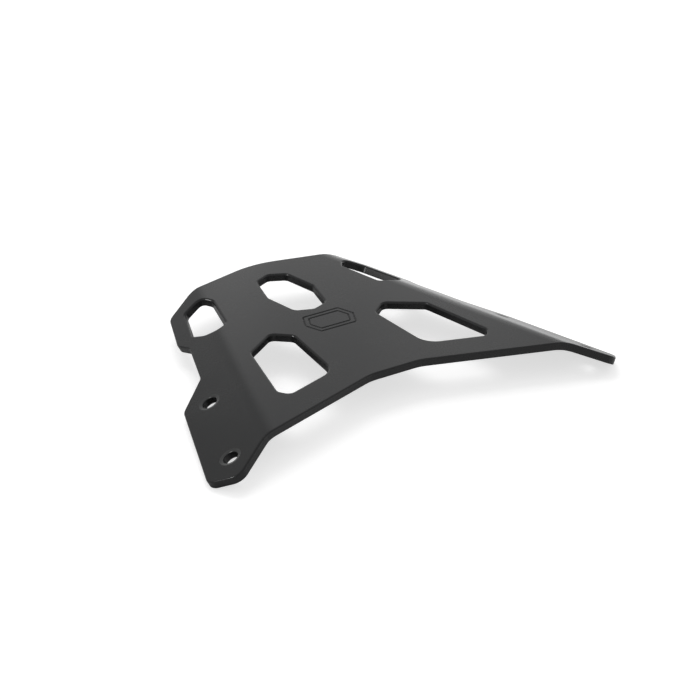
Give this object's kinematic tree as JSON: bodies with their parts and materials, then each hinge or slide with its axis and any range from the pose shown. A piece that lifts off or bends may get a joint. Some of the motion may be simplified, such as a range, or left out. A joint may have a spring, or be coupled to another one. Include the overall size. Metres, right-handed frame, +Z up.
{
  "type": "motorcycle luggage rack",
  "caption": "Flat black luggage rack plate for a motorbike tail, folded down at both sides, with angular windows in the panel and folds and screw holes in the folded wings.",
  "frame": {"origin": "middle of the bounding box's floor", "axes": "+Z up, square to the level panel; +Y towards the narrow rear edge; +X towards the right wing"},
  "size_m": [0.2856, 0.2014, 0.0242],
  "materials": {
    "powder_coat": "satin black powder coat on aluminium sheet"
  },
  "bodies": {
    "root": {"rack_plate": "powder_coat"}
  },
  "joints": []
}
